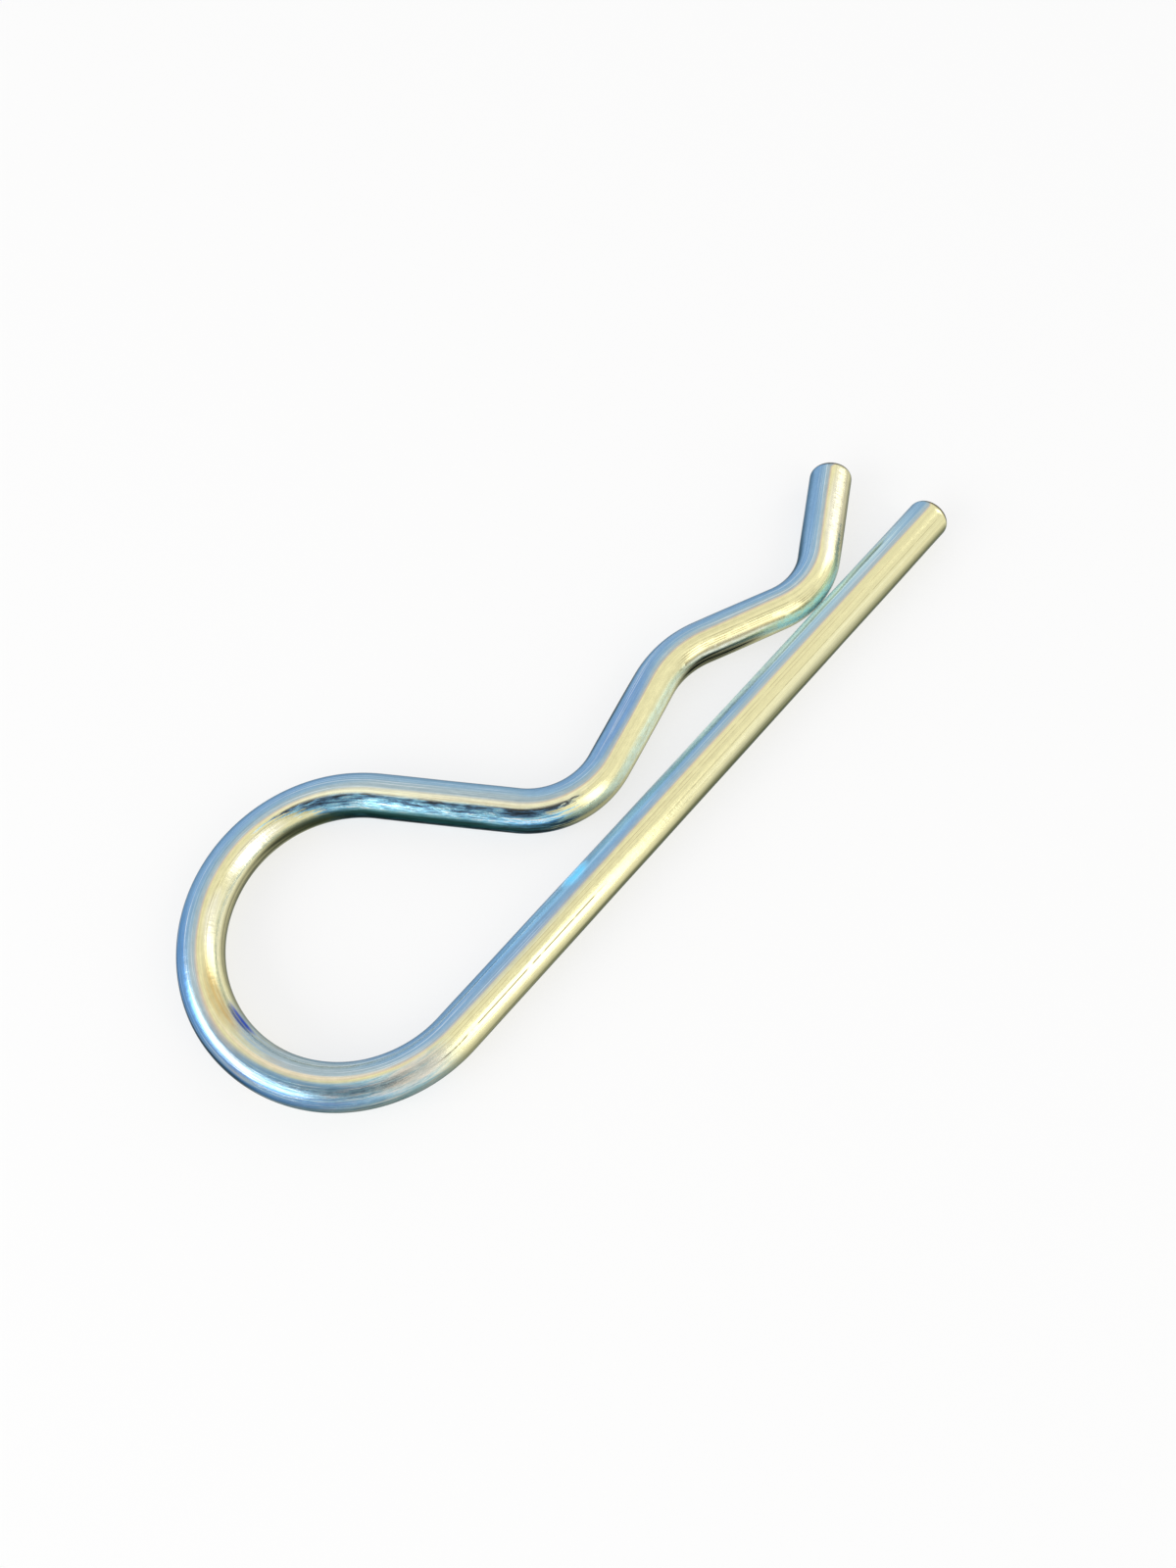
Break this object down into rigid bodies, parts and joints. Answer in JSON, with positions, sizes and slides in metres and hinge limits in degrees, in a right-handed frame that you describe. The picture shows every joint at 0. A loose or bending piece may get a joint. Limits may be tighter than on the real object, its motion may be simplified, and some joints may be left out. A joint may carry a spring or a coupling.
{
  "type": "hitch r clip",
  "caption": "Spring wire R clip bent from one round wire: a straight leg that goes through a shaft's cross hole, a humped leg that snaps round the shaft, and a pull loop.",
  "frame": {"origin": "on the straight leg's axis, where it crosses the axis of the shaft that the clip locks, under the crown of the shaped leg's seat", "axes": "+X along the straight leg to its tip, +Y from the straight leg to the shaped leg, +Z square to the plane that the wire is bent in, up as the clip lies flat"},
  "size_m": [0.0802, 0.0292, 0.004],
  "materials": {
    "zinc_plated_wire": "bright zinc plate on drawn spring wire, with a thin blue and straw passivate film"
  },
  "bodies": {
    "root": {"clip_wire": "zinc_plated_wire"}
  },
  "joints": []
}
